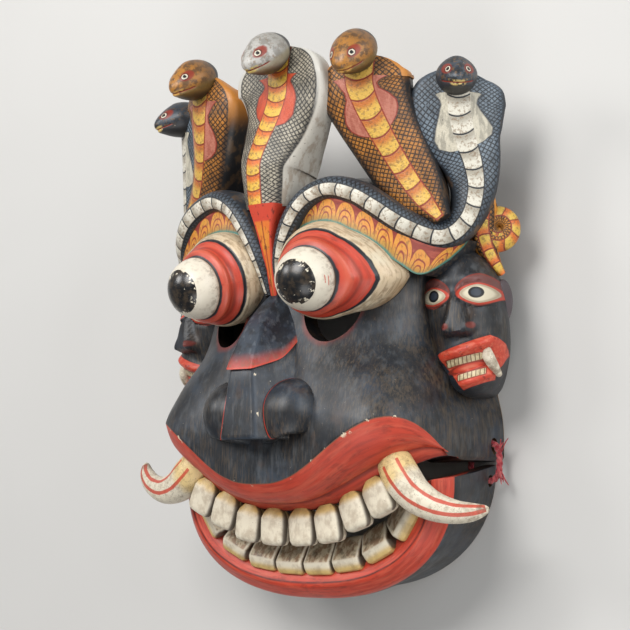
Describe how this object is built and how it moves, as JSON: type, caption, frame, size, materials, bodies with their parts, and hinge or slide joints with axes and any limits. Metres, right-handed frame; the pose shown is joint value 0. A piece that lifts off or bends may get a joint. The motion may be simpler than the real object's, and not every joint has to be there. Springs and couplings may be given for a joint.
{
  "type": "demon mask",
  "caption": "Carved and painted wooden demon mask with bulging eyes, a crown of rearing cobras, curved tusks, small side faces and a lower jaw tied on with cloth lashings.",
  "frame": {"origin": "on the back rim's plane, at the middle of the mask's width and height", "axes": "+X towards the mask's own left, +Y towards the crown, +Z out of the face; it lies on its back rim"},
  "size_m": [0.3679, 0.4683, 0.1936],
  "materials": {
    "painted_wood_black": "light wood carved and painted, satin black with red, white, yellow and grey areas, rubbed",
    "painted_wood_red": "light wood carved and painted brick red with black sides, satin, rubbed",
    "red_cloth": "faded red twisted cloth"
  },
  "bodies": {
    "face": {"mask_face": "painted_wood_black", "lashing_left": "red_cloth", "lashing_right": "red_cloth"},
    "jaw": {"lower_jaw": "painted_wood_red"}
  },
  "joints": [
    {"name": "jaw_hinge", "type": "hinge", "parent": "face", "child": "jaw", "pos_m": [0, -0.1205, 0.006], "axis": [1, 0, 0], "range_deg": [-3, 12], "deforming": ["lashing_left", "lashing_right"]}
  ]
}
